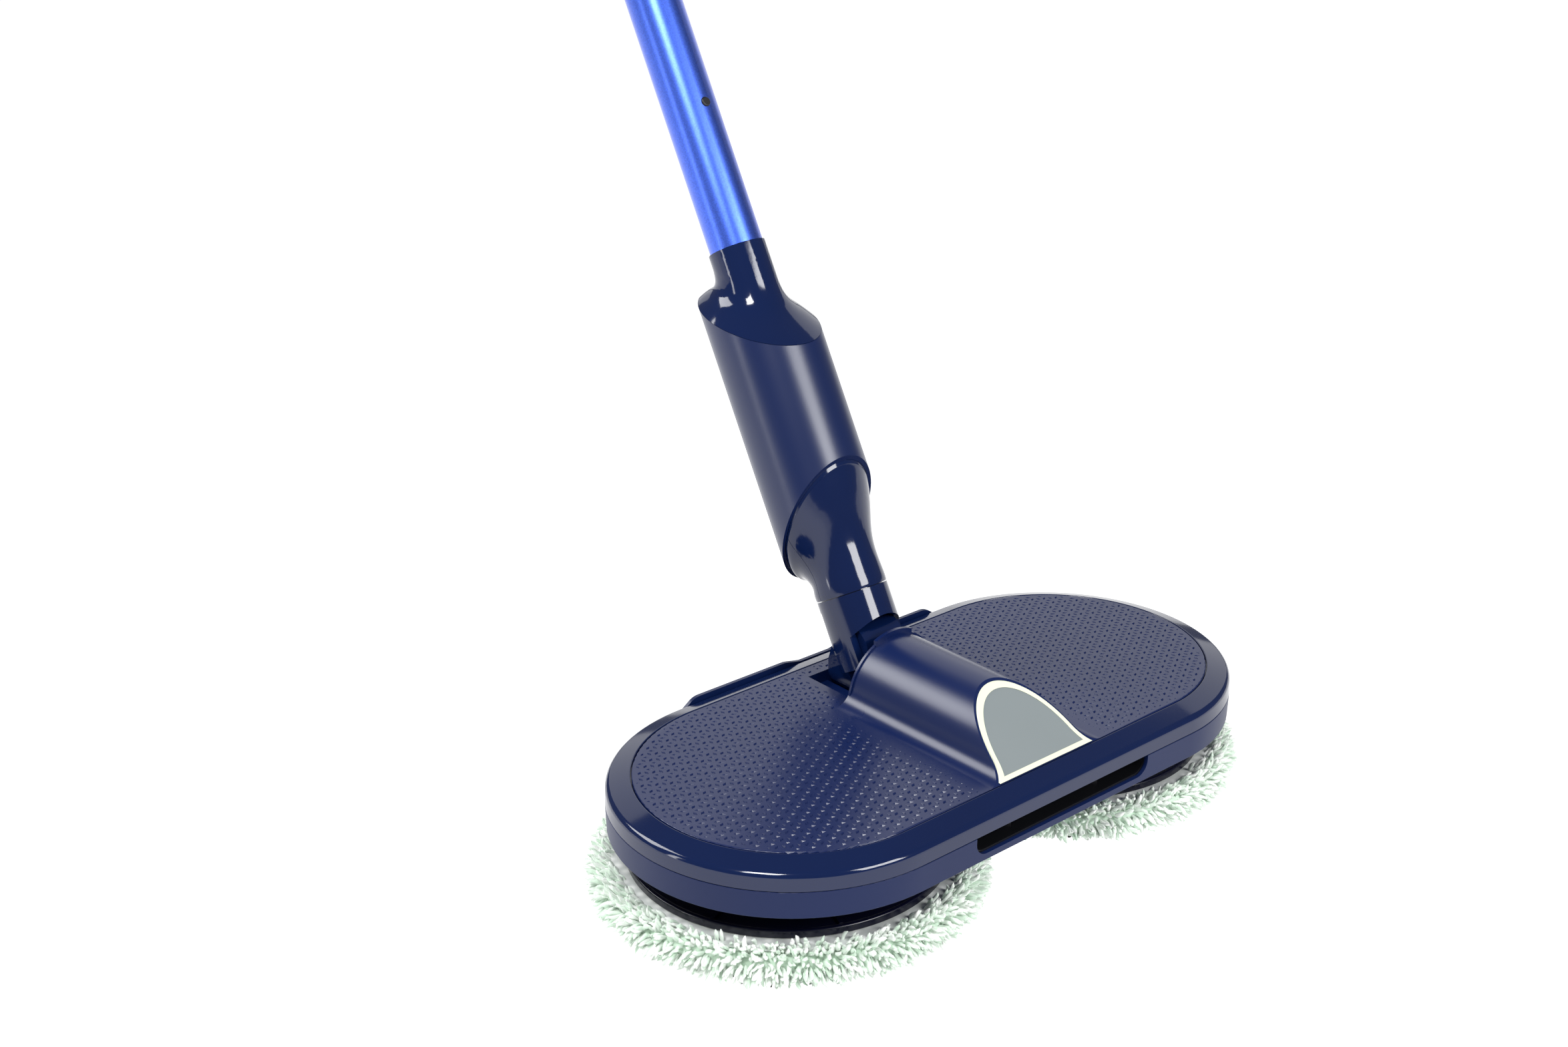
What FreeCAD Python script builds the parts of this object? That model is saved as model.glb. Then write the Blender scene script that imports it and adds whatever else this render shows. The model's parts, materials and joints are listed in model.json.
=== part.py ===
import FreeCAD, Part
import math
import os
from FreeCAD import Placement, Rotation, Vector

# Cordless twin-disc spin mop: a pill-shaped head on two round mop pads, a two-way hinge,
# a battery housing and a telescopic pole.  Millimetres, +Z up, floor at z = 0.
# X runs along the head, -Y is the front (badge side), origin on the floor under the head's centre.

os.makedirs("parts", exist_ok=True)

# ---- driving dimensions -------------------------------------------------------------------
# head, as a stadium: two half circles of radius HEAD_R whose centres are 2 * END_X apart
END_X = 104.7
HEAD_R = 100.0
WALL = 2.5
SKIRT_Z = 39.7            # lower edge of the skirt
SKIRT_HEIGHT = 15.1
RIM_BAND = 9.5            # upright band of the rim, up to its shoulder
DECK_RISE = 4.3           # deck above the rim's shoulder
RIM_WIDTH = 14.6
FLOOR_RISE = 3.9          # inner face of the head's bottom above the skirt's edge
PART_Z = SKIRT_Z + SKIRT_HEIGHT       # parting line between lower shell and rim
SHOULDER_Z = PART_Z + RIM_BAND
DECK_Z = SHOULDER_Z + DECK_RISE       # top face of the deck
DECK_R = HEAD_R - RIM_WIDTH           # stadium radius of the deck's edge
FLOOR_Z = SKIRT_Z + FLOOR_RISE
GROOVE = 0.5              # visible joint lines between mouldings

# motor bridge on the deck
BRIDGE_R = 32.5
BRIDGE_FILLET = 12.0
BRIDGE_REAR_Y = 35.0
BRIDGE_FRONT_Y = -DECK_R - 0.2
BRIDGE_SLOPE = 35.6       # degrees from level, of the front face that carries the badge
LIP_RISE = 3.4            # stop lip above the bridge
LIP_HALF_WIDTH = 13.8
LIP_THICK = 2.2
BADGE_INSET = 1.2
BADGE_BORDER = 2.3
BADGE_THICK = 0.8

# front slot in the skirt
SLOT_HALF = 67.0
SLOT_CORNER = 8.0

# spin discs and pads
DISC_Y = 4.0
DISC_R = 88.0
DISC_Z = 19.5             # underside of the disc's web
PAD_R = 101.0
PAD_THICK = 16.9
PILE_OVERHANG = 4.0       # pad beyond its backing
BACKING_THICK = 1.3
HOOK_MARGIN = 6.0         # hook ring inside the disc's edge
SHAFT_R = 5.0
HUB_R = 12.0

# gear train (module, teeth)
FAST_MODULE = 0.6
PINION_TEETH = 17
SLOW_MODULE = 1.0
STEP_TEETH = 18
IDLER_TEETH = 24
PRESSURE_ANGLE = math.radians(20)
GEAR_THICK = 5.0
AXLE_R = 2.0
REACH_MARGIN = 1.46       # how far the train's two steps outreach the way to a disc
FAST_BASE = 8.07          # the fast step's reach: this much, and a share of the whole
FAST_SHARE = 0.3

# motor
MOTOR_Y = -25.0
MOTOR_R = 13.85
MOTOR_LENGTH = 37.0

# hinge: the roll shaft lies along Y, the tilt pin along X
ROLL_Z = DECK_Z + 1.4
ROLL_SHAFT_R = 6.0
BLOCK_HALF = 14.2
BLOCK_BOSS_R = 15.0
TILT_PIN_R = 4.0
PIVOT_S = 40.0            # station of the tilt pin along the pole

# pole: stations s are measured along it from POLE_Y, POLE_Z
POLE_Y = 34.8
POLE_Z = 54.8
TILT = 28.66              # degrees back from upright, as it stands
COLLAR_R = 21.2
COLLAR_WALL = 2.6
COLLAR_S = 28.0
COLLAR_TOP_S = 70.4
PRONG_HALF = 9.2
ARCH_R = 32.0
ARCH_CROWN_S = 53.0
REAR_ARCH_S = 64.0
SLEEVE_R = 32.0
SLEEVE_WALL = 2.2
SLEEVE_LOW_S = 115.5
SLEEVE_LOW_SLOPE = 0.93
SLEEVE_TOP_S = 238.7
SLEEVE_TOP_SLOPE = 0.82
SPIGOT = 8.0
SHELL_WALL = 2.2
SOCKET_WALL = 1.1
SOCKET_TOP_S = 280.0
TUBE_R = 16.0
TUBE_WALL = 1.3
SOCKET_R = TUBE_R + SOCKET_WALL
TUBE_SEAT_S = 258.0
TUBE_TOP_S = 800.0
STUB_TOP_S = 385.0
BUTTON_S = 363.5
BUTTON_R = 2.8
CLAMP_S = 770.0
CLAMP_TOP_S = 818.0
UPPER_TUBE_R = TUBE_R - TUBE_WALL - 0.7
UPPER_TUBE_S = 640.0
GRIP_S = 1040.0
GRIP_TOP_S = 1195.0
GRIP_WALL = 3.5
GRIP_R = UPPER_TUBE_R + GRIP_WALL
GRIP_BORE_TOP_S = 1150.0
POWER_S = 1085.0
POWER_R = 7.0
LOOP_R = 12.0
CELL_R = 9.2
CELL_LENGTH = 65.0
CELL_S = SLEEVE_TOP_S - SLEEVE_TOP_SLOPE * SLEEVE_R - CELL_LENGTH + 1.04

# clearances
RUNNING = 0.05            # shafts and pins in their bores, on the radius
FIT = 0.1                 # mouldings that sit inside one another
GAP = 0.3                 # faces that pass each other

UP = Vector(0, 0, 1)
ORIGIN = Vector(0, 0, 0)
ALONG_X = Vector(1, 0, 0)
ALONG_Y = Vector(0, 1, 0)
SIDES = {"right": 1, "left": -1}


# ---- shape helpers ------------------------------------------------------------------------
def save(name, shape):
    shape.exportStep("parts/" + name + ".step")


def cylinder(radius, low, high, x=0.0, y=0.0):
    return Part.makeCylinder(radius, high - low, Vector(x, y, low))


def ring(outer, inner, low, high, x=0.0, y=0.0):
    return cylinder(outer, low, high, x, y).cut(cylinder(inner, low - 1, high + 1, x, y))


def rod(radius, start, direction, length):
    return Part.makeCylinder(radius, length, start, direction)


def box(x0, x1, y0, y1, z0, z1):
    return Part.makeBox(x1 - x0, y1 - y0, z1 - z0, Vector(x0, y0, z0))


def fuse(shapes):
    return shapes[0].multiFuse(shapes[1:]).removeSplitter()


def outline(points):
    """Closed wire in the XZ plane; a point given as (x, z, r) has its corner rounded by r."""
    corners = []
    for index, point in enumerate(points):
        here = Vector(point[0], 0, point[1])
        if len(point) == 2:
            corners.append((here, None, here))
            continue
        before = points[index - 1]
        after = points[(index + 1) % len(points)]
        back = (Vector(before[0], 0, before[1]) - here).normalize()
        ahead = (Vector(after[0], 0, after[1]) - here).normalize()
        half = back.getAngle(ahead) / 2
        reach = point[2] / math.tan(half)
        middle = (back + ahead).normalize()
        middle = here + middle * (point[2] / math.sin(half) - point[2])
        corners.append((here + back * reach, middle, here + ahead * reach))
    edges = []
    for index, (start, middle, end) in enumerate(corners):
        if middle:
            edges.append(Part.Arc(start, middle, end).toShape())
        following = corners[(index + 1) % len(corners)][0]
        if end.distanceToPoint(following) > 1e-6:
            edges.append(Part.makeLine(end, following))
    return Part.Wire(edges)


def lathe(points, x=0.0, y=0.0):
    """Solid turned about a vertical axis from an (r, z) outline."""
    solid = Part.Face(outline(points)).revolve(ORIGIN, UP, 360)
    solid.translate(Vector(x, y, 0))
    return solid


def track(points):
    """Solid that carries an (r, z) outline round the head's stadium."""
    pieces = []
    for side in (1, -1):
        face = Part.Face(outline(points))
        face.rotate(ORIGIN, UP, -90 * side)
        end = face.revolve(ORIGIN, UP, 180)
        end.translate(Vector(side * END_X, 0, 0))
        pieces.append(end)
        straight = face.extrude(Vector(2 * END_X, 0, 0))
        straight.translate(Vector(-END_X, 0, 0))
        pieces.append(straight)
    return fuse(pieces)


def across(points, y0, y1):
    """Prism along Y from an (x, z) outline."""
    face = Part.Face(outline(points))
    face.translate(Vector(0, y0, 0))
    return face.extrude(Vector(0, y1 - y0, 0))


def sideways(points, x0, x1):
    """Prism along X from a (y, z) outline."""
    solid = across(points, -x1, -x0)
    solid.rotate(ORIGIN, UP, 90)
    return solid


def sheared_ring(radius, height, slope):
    """Oblique section of a round neck: higher towards +y by slope."""
    turns = [2 * math.pi * index / 24 for index in range(24)]
    points = [
        Vector(radius * math.cos(a), radius * math.sin(a), height + slope * radius * math.sin(a))
        for a in turns
    ]
    curve = Part.BSplineCurve()
    curve.interpolate(Points=points, PeriodicFlag=True)
    return Part.Wire([curve.toShape()])


def skin(sections, straight=False):
    """Solid through oblique sections, smooth or in straight stretches."""
    return Part.makeLoft([sheared_ring(*section) for section in sections], True, straight)


def on_pole(shape):
    """Places a shape drawn with the pole's axis along Z, rear towards +Y, in the row's frame."""
    placed = shape.copy()
    placed.Placement = Placement(Vector(0, POLE_Y, POLE_Z), Rotation(ALONG_X, -TILT))
    return placed


def screw(x, y, low, length, radius=1.7, head_r=3.2, head_h=2.0):
    """Screw driven upwards, with a cross recess in its head at the bottom."""
    head = cylinder(head_r, low, low + head_h, x, y)
    head = head.cut(box(x - 2, x + 2, y - 0.5, y + 0.5, low - 1, low + 1))
    head = head.cut(box(x - 0.5, x + 0.5, y - 2, y + 2, low - 1, low + 1))
    return head.fuse(cylinder(radius, low + head_h, low + length, x, y)).removeSplitter()


# ---- gear train ---------------------------------------------------------------------------
def meeting_point(a, reach_a, b, reach_b, side):
    """Point at the two given distances from a and b, on the chosen side of the line a-b."""
    line = b - a
    span = line.Length
    along = (span ** 2 + reach_a ** 2 - reach_b ** 2) / (2 * span)
    off = math.sqrt(reach_a ** 2 - along ** 2)
    unit = line * (1 / span)
    return a + unit * along + Vector(-unit.y, unit.x, 0) * off * side


def meshed_turn(a, teeth_a, turn_a, b, teeth_b):
    """Turn of gear b that puts its gaps on gear a's teeth, with a's first tooth at turn_a."""
    heading = math.atan2(b.y - a.y, b.x - a.x)
    return heading + math.pi - (math.pi - (heading - turn_a) * teeth_a) / teeth_b


def gear(module, teeth, turn, centre, low, thick):
    """Involute spur gear with its first tooth pointing along turn."""
    pitch_r = module * teeth / 2
    base_r = pitch_r * math.cos(PRESSURE_ANGLE)
    tip_r = pitch_r + 0.9 * module
    root_r = pitch_r - 1.2 * module
    backlash = 0.12 * module
    half_pitch = math.pi / (2 * teeth) - backlash / (2 * pitch_r)
    start_r = max(root_r, base_r)

    def involute(angle):
        return math.tan(angle) - angle

    def half_angle(radius):
        return half_pitch + involute(PRESSURE_ANGLE) - involute(math.acos(min(1, base_r / radius)))

    radii = [start_r + (tip_r - start_r) * step / 3 for step in range(4)]
    flank = [(radius, half_angle(radius)) for radius in radii]
    if root_r < base_r:
        flank.insert(0, (root_r, half_angle(start_r)))
    points = []
    for tooth in range(teeth):
        middle = turn + 2 * math.pi * tooth / teeth
        rise = [(radius, middle - angle) for radius, angle in flank]
        fall = [(radius, middle + angle) for radius, angle in reversed(flank)]
        for radius, angle in rise + fall:
            points.append(centre + Vector(radius * math.cos(angle), radius * math.sin(angle), low))
    points.append(points[0])
    return Part.Face(Part.makePolygon(points)).extrude(Vector(0, 0, thick))


FAST_Z = FLOOR_Z + 5.0                       # underside of the motor's first gear layer
SLOW_Z = FAST_Z + GEAR_THICK + 1.5           # underside of the second layer
PLATE_Z = SLOW_Z + GEAR_THICK + 1.0          # underside of the plate over the gears
PLATE_THICK = 2.0
MOTOR_Z = SLOW_Z - 0.5                       # underside of the motor can
LAYER_GAP = 0.2                              # play of a gear along its axle
motor_axis = Vector(0, MOTOR_Y, 0)
right_output = Vector(END_X, DISC_Y, 0)
left_output = Vector(-END_X, DISC_Y, 0)
whole_reach = (right_output - motor_axis).Length + REACH_MARGIN
WHEEL_TEETH = round(2 * (FAST_BASE + FAST_SHARE * whole_reach) / FAST_MODULE) - PINION_TEETH
fast_reach = FAST_MODULE * (PINION_TEETH + WHEEL_TEETH) / 2
OUTPUT_TEETH = round(2 * (whole_reach - fast_reach) / SLOW_MODULE) - STEP_TEETH
slow_reach = SLOW_MODULE * (STEP_TEETH + OUTPUT_TEETH) / 2
right_step = meeting_point(motor_axis, fast_reach, right_output, slow_reach, -1)
left_step = motor_axis + Vector(-fast_reach * math.cos(math.radians(10)),
                                -fast_reach * math.sin(math.radians(10)), 0)
left_idler = meeting_point(
    left_step, SLOW_MODULE * (STEP_TEETH + IDLER_TEETH) / 2,
    left_output, SLOW_MODULE * (IDLER_TEETH + OUTPUT_TEETH) / 2, -1
)


def bored(shape, centre, radius):
    return shape.cut(cylinder(radius, 0, 100, centre.x, centre.y))


def step_gear(centre, turn_fast):
    """Large fast wheel with the small slow pinion moulded on top of it."""
    wheel = gear(FAST_MODULE, WHEEL_TEETH, turn_fast, centre, FAST_Z, GEAR_THICK)
    rim = FAST_MODULE * WHEEL_TEETH / 2 - 4
    for low in (FAST_Z - 1, FAST_Z + GEAR_THICK - 1.4):
        wheel = wheel.cut(ring(rim, 9, low, low + 2.4, centre.x, centre.y))
    small = gear(SLOW_MODULE, STEP_TEETH, 0, centre, FAST_Z + GEAR_THICK, SLOW_Z - FAST_Z)
    return bored(wheel.fuse(small), centre, AXLE_R + RUNNING)


def output_gear(centre, turn):
    wheel = gear(SLOW_MODULE, OUTPUT_TEETH, turn, centre, SLOW_Z, GEAR_THICK)
    for step in range(6):
        angle = math.radians(60 * step)
        x = centre.x + 34 * math.cos(angle)
        y = centre.y + 34 * math.sin(angle)
        wheel = wheel.cut(cylinder(11, SLOW_Z - 1, SLOW_Z + GEAR_THICK + 1, x, y))
    return bored(wheel, centre, SHAFT_R)


def make_gears():
    pinion = gear(FAST_MODULE, PINION_TEETH, 0, motor_axis, FAST_Z, GEAR_THICK)
    save("motor_pinion", bored(pinion, motor_axis, 1.0))
    right_turn = meshed_turn(motor_axis, PINION_TEETH, 0, right_step, WHEEL_TEETH)
    save("right_step_gear", step_gear(right_step, right_turn))
    left_turn = meshed_turn(motor_axis, PINION_TEETH, 0, left_step, WHEEL_TEETH)
    save("left_step_gear", step_gear(left_step, left_turn))
    idler_turn = meshed_turn(left_step, STEP_TEETH, 0, left_idler, IDLER_TEETH)
    idler = gear(SLOW_MODULE, IDLER_TEETH, idler_turn, left_idler, SLOW_Z, GEAR_THICK)
    save("left_idler_gear", bored(idler, left_idler, AXLE_R + RUNNING))
    turn = meshed_turn(right_step, STEP_TEETH, 0, right_output, OUTPUT_TEETH)
    save("right_output_gear", output_gear(right_output, turn))
    turn = meshed_turn(left_idler, IDLER_TEETH, idler_turn, left_output, OUTPUT_TEETH)
    save("left_output_gear", output_gear(left_output, turn))
    axles = []
    for centre in (right_step, left_step):
        pin = cylinder(AXLE_R, FLOOR_Z, PLATE_Z + PLATE_THICK, centre.x, centre.y)
        spacer = cylinder(4.5, FLOOR_Z, FAST_Z - LAYER_GAP, centre.x, centre.y)
        axles.append(fuse([pin, spacer]))
    x, y = left_idler.x, left_idler.y
    stud = cylinder(AXLE_R, SLOW_Z - 0.8, PLATE_Z + PLATE_THICK, x, y)
    stud_head = cylinder(AXLE_R + 1.3, SLOW_Z - 0.8, SLOW_Z - LAYER_GAP, x, y)
    axles.append(fuse([stud, stud_head]))
    save("gear_axles", Part.makeCompound(axles))


# ---- discs and pads -----------------------------------------------------------------------
BEARING_R = 11.0
BEARING_H = 5.0
BOSS_Z = 36.6             # lower end of the output bosses


def make_disc_stack(side):
    centre = Vector(SIDES[side] * END_X, DISC_Y, 0)
    x, y = centre.x, centre.y
    hub_top = BOSS_Z - 2.0
    disc = lathe([
        (SHAFT_R, DISC_Z), (DISC_R - 2, DISC_Z), (DISC_R - 2, DISC_Z - 0.5), (DISC_R, DISC_Z - 0.5),
        (DISC_R, DISC_Z + 3.5, 1), (DISC_R - 3, DISC_Z + 3.5, 1), (DISC_R - 3, DISC_Z + WALL),
        (HUB_R, DISC_Z + WALL, 2), (HUB_R, hub_top), (SHAFT_R, hub_top),
    ], x, y)
    ribs = []
    for step in range(8):
        rib = box(HUB_R - 0.5, DISC_R - 2.5, -1, 1, DISC_Z + WALL - 0.5, DISC_Z + WALL + 1.5)
        rib.rotate(ORIGIN, UP, 45 * step + 22.5)
        rib.translate(centre)
        ribs.append(rib)
    save(side + "_spin_disc", fuse([disc] + ribs))
    shaft_low = DISC_Z + 4.0
    shaft = cylinder(SHAFT_R, shaft_low, PLATE_Z + PLATE_THICK + 0.5, x, y)
    shaft = shaft.cut(cylinder(2.5, shaft_low - 1, shaft_low + 12, x, y))
    save(side + "_output_shaft", shaft)
    bolt = cylinder(SHAFT_R - FIT, DISC_Z - 0.5, shaft_low, x, y)
    bolt = bolt.fuse(cylinder(2.4, shaft_low, shaft_low + 11, x, y)).removeSplitter()
    hexagon = Part.makePolygon([
        Vector(x + 2.5 * math.cos(math.pi * k / 3), y + 2.5 * math.sin(math.pi * k / 3), DISC_Z - 1)
        for k in range(7)
    ])
    bolt = bolt.cut(Part.Face(hexagon).extrude(Vector(0, 0, 3)))
    save(side + "_disc_screw", bolt)
    hook_low = PAD_THICK + BACKING_THICK
    save(side + "_hook_ring", ring(DISC_R - HOOK_MARGIN, 18, hook_low, DISC_Z, x, y))
    save(side + "_pad_backing", ring(PAD_R - PILE_OVERHANG, 15, PAD_THICK, hook_low, x, y))
    pad = lathe([(0, 0), (PAD_R, 0, 6), (PAD_R, PAD_THICK, 7), (0, PAD_THICK)], x, y)
    save(side + "_mop_pad", pad)


def make_output_bearings():
    bearings = []
    seals = []
    for side in SIDES:
        x = SIDES[side] * END_X
        low = FLOOR_Z - BEARING_H
        for z in (low, PLATE_Z - 0.5):
            height = BEARING_H if z == low else PLATE_THICK + 0.5
            inner = ring(SHAFT_R + 2, SHAFT_R + RUNNING, z, z + height, x, DISC_Y)
            outer = ring(BEARING_R, SHAFT_R + 2, z + 0.4, z + height - 0.4, x, DISC_Y)
            bearings.append(fuse([inner, outer]))
        seals.append(ring(BEARING_R - FIT, SHAFT_R + RUNNING, BOSS_Z, low, x, DISC_Y))
    save("output_bearings", Part.makeCompound(bearings))
    save("shaft_seals", Part.makeCompound(seals))


# ---- head ---------------------------------------------------------------------------------
def bridge_section(inset, foot_z):
    """Section of the bridge: a half circle blended into the deck, drawn inset by a margin."""
    radius = BRIDGE_R - inset
    fillet = BRIDGE_FILLET + inset
    centre_x = math.sqrt((BRIDGE_R + BRIDGE_FILLET) ** 2 - BRIDGE_FILLET ** 2)
    centre_z = DECK_Z + BRIDGE_FILLET
    share = radius / (BRIDGE_R + BRIDGE_FILLET)
    join_x = centre_x * share
    join_z = DECK_Z + BRIDGE_FILLET * share
    drop = math.asin((centre_z - foot_z) / fillet)
    foot_x = centre_x - fillet * math.cos(drop)
    join_turn = math.atan2(centre_z - join_z, centre_x - join_x)
    half_turn = (drop + join_turn) / 2
    mid_x = centre_x - fillet * math.cos(half_turn)
    mid_z = centre_z - fillet * math.sin(half_turn)
    left = Part.Arc(Vector(-foot_x, 0, foot_z), Vector(-mid_x, 0, mid_z), Vector(-join_x, 0, join_z))
    top = Part.Arc(Vector(-join_x, 0, join_z), Vector(0, 0, DECK_Z + radius), Vector(join_x, 0, join_z))
    right = Part.Arc(Vector(join_x, 0, join_z), Vector(mid_x, 0, mid_z), Vector(foot_x, 0, foot_z))
    base = Part.makeLine(Vector(foot_x, 0, foot_z), Vector(-foot_x, 0, foot_z))
    face = Part.Face(Part.Wire([left.toShape(), top.toShape(), right.toShape(), base]))
    return face


def prism(face, y0, y1):
    solid = face.copy()
    solid.translate(Vector(0, y0, 0))
    return solid.extrude(Vector(0, y1 - y0, 0))


def under_slope(offset):
    """Everything below the bridge's front slope, moved inwards by offset."""
    rise = math.tan(math.radians(BRIDGE_SLOPE))
    drop = offset / math.cos(math.radians(BRIDGE_SLOPE))
    front = BRIDGE_FRONT_Y - 20
    front_z = DECK_Z + (front - BRIDGE_FRONT_Y) * rise - drop
    rear = BRIDGE_REAR_Y + 20
    rear_z = DECK_Z + (rear - BRIDGE_FRONT_Y) * rise - drop
    return sideways([(front, -40), (rear, -40), (rear, rear_z), (front, front_z)], -60, 60)


POCKET_HALF = 28.0
POCKET_Y = 75.0
POCKET_Z = 61.5
TROUGH_R = BLOCK_HALF + 1.3


def hinge_pocket(grow):
    """Sunk tray behind the bridge in which the hinge block and the prongs swing."""
    wide = POCKET_HALF + grow
    tray = box(-wide, wide, BRIDGE_REAR_Y - grow, POCKET_Y + grow, POCKET_Z - grow, DECK_Z)
    start = Vector(0, BRIDGE_REAR_Y - grow, ROLL_Z)
    trough = rod(TROUGH_R + grow, start, ALONG_Y, POCKET_Y - BRIDGE_REAR_Y + 2 * grow)
    return tray.fuse(trough)


def make_deck():
    plate = track([(0, DECK_Z - WALL), (DECK_R, DECK_Z - WALL), (DECK_R, DECK_Z, 0.8), (0, DECK_Z)])
    bridge = prism(bridge_section(0, DECK_Z), BRIDGE_FRONT_Y, BRIDGE_REAR_Y)
    bridge = bridge.common(under_slope(0))
    flare = rod(BRIDGE_R + 1, Vector(0, BRIDGE_REAR_Y - 1.5, DECK_Z), ALONG_Y, 1.5)
    lip = rod(BRIDGE_R + LIP_RISE, Vector(0, BRIDGE_REAR_Y - LIP_THICK, DECK_Z), ALONG_Y, LIP_THICK)
    lip = lip.common(box(-LIP_HALF_WIDTH, LIP_HALF_WIDTH, 0, 60, DECK_Z + 20, DECK_Z + 60))
    above = box(-60, 60, -100, 90, DECK_Z - 0.5, DECK_Z + 60)
    tray = hinge_pocket(2.0).common(box(-60, 60, -100, 90, 0, DECK_Z))
    solid = fuse([plate, bridge, flare.common(above), lip, tray])
    inside_r = BRIDGE_R - WALL
    rear_wall = BRIDGE_REAR_Y - 2.5
    hollow = rod(inside_r, Vector(0, BRIDGE_FRONT_Y + 8, DECK_Z), ALONG_Y,
                 rear_wall - BRIDGE_FRONT_Y - 8)
    hollow = hollow.common(under_slope(WALL))
    hollow = hollow.cut(hinge_pocket(2.0))
    solid = solid.cut(hollow)
    open_pocket = hinge_pocket(0)
    open_pocket = open_pocket.cut(box(-60, 60, -100, BRIDGE_REAR_Y, 0, 200))
    solid = solid.cut(open_pocket)
    passage = rod(ROLL_SHAFT_R + 0.5, Vector(0, 0, ROLL_Z), ALONG_Y, BRIDGE_REAR_Y + 2)
    solid = solid.cut(passage)
    save("deck_cover", solid)
    face_band = under_slope(-BADGE_THICK).cut(under_slope(0.0))
    frame_face = bridge_section(BADGE_INSET, DECK_Z + 0.8)
    plate_face = bridge_section(BADGE_INSET + BADGE_BORDER, DECK_Z + 0.8 + BADGE_BORDER * 0.6)
    reach = (BRIDGE_FRONT_Y - 10, BRIDGE_REAR_Y - 20)
    frame = prism(frame_face, *reach).cut(prism(plate_face, *reach)).common(face_band)
    plate_band = under_slope(-BADGE_THICK * 0.6).cut(under_slope(0.0))
    save("badge_frame", frame)
    save("badge_plate", prism(plate_face, *reach).common(plate_band))


POST_R = 4.0
side_spot = (END_X - 26.7, DECK_R - 5.4)
end_spot = (END_X + 0.733 * HEAD_R, 0.44 * HEAD_R)
SCREW_SPOTS = [(x * a, y * b) for x, y in (side_spot, end_spot) for a in (-1, 1) for b in (-1, 1)]


def make_rim():
    inner = HEAD_R - WALL
    rim = track([
        (DECK_R + GROOVE, DECK_Z - WALL), (DECK_R + GROOVE, DECK_Z, 0.6),
        (HEAD_R - 0.6, SHOULDER_Z, 4.0), (HEAD_R, PART_Z + GROOVE), (inner, PART_Z + GROOVE),
        (inner, SHOULDER_Z - 2.2), (DECK_R - 5, SHOULDER_Z - 2.2), (DECK_R - 5, DECK_Z - WALL),
    ])
    posts = []
    for x, y in SCREW_SPOTS:
        posts.append(cylinder(POST_R, FLOOR_Z + 9, DECK_Z - WALL - 0.5, x, y))
    rim = fuse([rim] + posts)
    for x, y in SCREW_SPOTS:
        rim = rim.cut(cylinder(1.75, FLOOR_Z, DECK_Z - 4, x, y))
    save("rim_shell", rim)


def slot_outline(inset, low, high):
    half = SLOT_HALF - inset
    return [
        (-half, high), (-half, low, SLOT_CORNER), (half, low, SLOT_CORNER), (half, high),
    ]


def make_lower_shell():
    shell = track([
        (0, FLOOR_Z - WALL), (HEAD_R - WALL, FLOOR_Z - WALL), (HEAD_R - WALL, SKIRT_Z),
        (HEAD_R - 0.4, SKIRT_Z, 0.5), (HEAD_R, PART_Z, 0.3), (HEAD_R - WALL, PART_Z),
        (HEAD_R - WALL, FLOOR_Z), (0, FLOOR_Z),
    ])
    bosses = []
    for side in SIDES.values():
        bosses.append(cylinder(BEARING_R + 3, BOSS_Z, FLOOR_Z, side * END_X, DISC_Y))
    for x, y in SCREW_SPOTS:
        bosses.append(cylinder(POST_R, FLOOR_Z - 1, FLOOR_Z + 9 - FIT, x, y))
    shell = fuse([shell] + bosses)
    for side in SIDES.values():
        shell = shell.cut(cylinder(BEARING_R, BOSS_Z - 1, FLOOR_Z + 1, side * END_X, DISC_Y))
    for x, y in SCREW_SPOTS:
        shell = shell.cut(cylinder(1.9, 0, 60, x, y))
        shell = shell.cut(cylinder(3.5, 0, FLOOR_Z + 1, x, y))
    slot = across(slot_outline(0, FLOOR_Z, PART_Z + 5), -HEAD_R - 2, -HEAD_R + WALL + 2)
    save("lower_shell", shell.cut(slot))
    heads = [screw(x, y, FLOOR_Z - 1, 18) for x, y in SCREW_SPOTS]
    save("shell_screws", Part.makeCompound(heads))


def make_slot_tray():
    """Shallow tray behind the front slot, with slanting ribs and two tinted windows at its back."""
    front = -HEAD_R + WALL + GAP
    rear = front + 20
    top = SHOULDER_Z - 2.2 - GAP
    tray = across(slot_outline(-2, FLOOR_Z, top), front, rear)
    tray = tray.cut(across(slot_outline(0, FLOOR_Z + 1.2, top - 1.5), front - 1, rear - 2))
    ribs = []
    for x in (-44, 24):
        rib = box(-0.9, 0.9, front + 2, rear - 1, FLOOR_Z + 0.5, top - 1)
        rib.rotate(Vector(0, rear, 0), UP, 38)
        rib.translate(Vector(x, 0, 0))
        ribs.append(rib)
    tray = fuse([tray] + ribs)
    windows = []
    for x in (-30, 40):
        hole = box(x - 13, x + 13, rear - 4, rear + 1, FLOOR_Z + 3, PART_Z - 2)
        tray = tray.cut(hole)
        windows.append(box(x - 13 + FIT, x + 13 - FIT, rear - 2, rear - 0.5, FLOOR_Z + 3 + FIT,
                           PART_Z - 2 - FIT))
    save("slot_tray", tray)
    save("slot_windows", Part.makeCompound(windows))


def make_rear_guard():
    """Strip behind the straight rear rim, dipping in the middle where the pole lies back."""
    low = PART_Z + 1
    top = DECK_Z - 1.6
    half = END_X - 3.7
    points = [
        (-half, low), (half, low), (half, low + 5), (half - 9, top, 12), (24, top, 10),
        (12, top - 2.6, 10), (-12, top - 2.6, 10), (-24, top, 10), (9 - half, top, 12),
        (-half, low + 5),
    ]
    save("rear_guard", across(points, HEAD_R + FIT, HEAD_R + FIT + 2.2))


ROLL_HOUSING_R = 10.0
PLATE_FRONT_Y = -50.0
PLATE_REAR_Y = 28.0


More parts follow.
